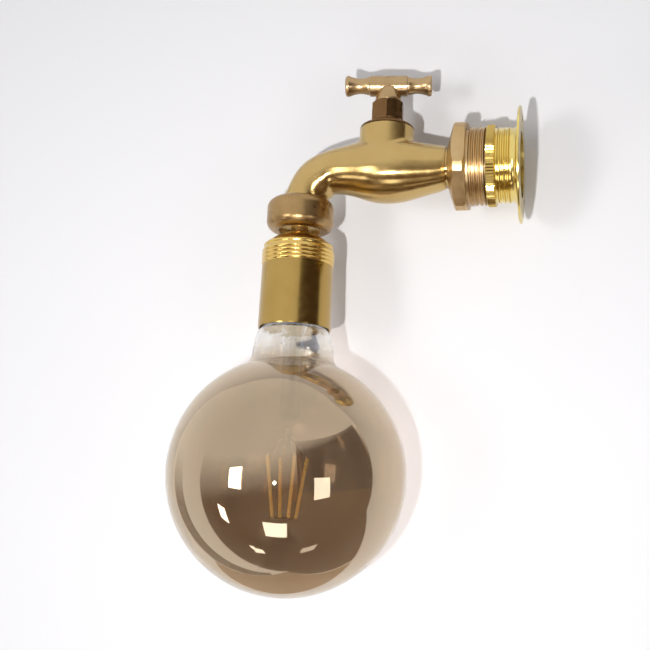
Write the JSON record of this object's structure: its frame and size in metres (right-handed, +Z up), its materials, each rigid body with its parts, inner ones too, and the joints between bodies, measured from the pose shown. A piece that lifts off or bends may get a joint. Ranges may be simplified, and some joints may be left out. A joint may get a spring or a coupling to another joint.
{
  "type": "wall light",
  "caption": "Wall light made from a brass bib tap: round wall flange, hexagon bushing, T handle, and a brass screw lampholder with a large smoked globe lamp hanging from the spout.",
  "frame": {"origin": "centre of the wall flange's back face, on the wall", "axes": "+Y into the wall, +Z up, the tap and lamp stand out along -Y"},
  "size_m": [0.125, 0.1821, 0.2838],
  "materials": {
    "pressed_brass": "bright",
    "polished_brass": "polished",
    "satin_brass": "satin",
    "handle_brass": "semi-polished",
    "inner_brass": "as machined",
    "lamp_cap_metal": "bright nickelled",
    "smoky_glass": "smoked, blown",
    "clear_glass": "clear",
    "black_glass": "gloss",
    "porcelain": "glazed",
    "washer_rubber": "matt",
    "packing_cord": "greased",
    "wire_metal": "bright",
    "filament_coating": "matt amber",
    "circuit_board": "satin",
    "block_plastic": "matt",
    "lead_sheath": "matt",
    "core_sheath": "matt",
    "earth_sheath": "matt"
  },
  "bodies": {
    "tap": {"wall_flange": "pressed_brass", "knurled_lock_ring": "pressed_brass", "lampholder_cap": "pressed_brass", "lampholder_skirt": "pressed_brass", "tap_body": "polished_brass", "bonnet": "polished_brass", "hex_bushing": "satin_brass", "gland_nut": "satin_brass", "union_nut": "satin_brass", "nipple_plate": "inner_brass", "nipple": "inner_brass", "upper_locknut": "inner_brass", "lower_locknut": "inner_brass", "screw_shell": "inner_brass", "centre_contact": "inner_brass", "terminal_screws": "inner_brass", "earth_tag": "inner_brass", "lampholder_insulator": "porcelain", "union_seal": "washer_rubber", "gland_packing": "packing_cord", "block_screws": "wire_metal", "terminal_block": "block_plastic", "lamp_lead": "lead_sheath", "lead_tails": "core_sheath", "holder_cores": "core_sheath", "earth_core": "earth_sheath"},
    "valve": {"valve_jumper": "inner_brass", "tap_washer": "washer_rubber", "washer_nut": "inner_brass"},
    "handle": {"spindle": "handle_brass", "handle_hub": "handle_brass", "handle_stud": "handle_brass", "handle_end_front": "handle_brass", "handle_end_wall": "handle_brass"},
    "lamp": {"lamp_cap": "lamp_cap_metal", "cap_insulator": "black_glass", "tip_contact": "lamp_cap_metal", "glass_globe": "smoky_glass", "glass_stem": "clear_glass", "exhaust_tube": "clear_glass", "support_wires": "wire_metal", "filament_links": "wire_metal", "driver_board": "circuit_board", "led_filament_1": "filament_coating", "led_filament_2": "filament_coating", "led_filament_3": "filament_coating", "led_filament_4": "filament_coating"}
  },
  "joints": [
    {"name": "valve_lift", "type": "slide", "parent": "tap", "child": "valve", "axis": [0, 0, 1], "range_m": [0, 0.00501]},
    {"name": "handle_turn", "type": "hinge", "parent": "valve", "child": "handle", "pos_m": [0, -0.0731, 0], "axis": [0, 0, 1], "range_deg": [0, 720]},
    {"name": "lamp_withdraw", "type": "slide", "parent": "tap", "child": "lamp", "axis": [0, 0, -1], "range_m": [0, 0.036]}
  ],
  "couplings": [
    {"joint": "valve_lift", "follows": "handle_turn", "m_per_rad": 0.00039789}
  ]
}
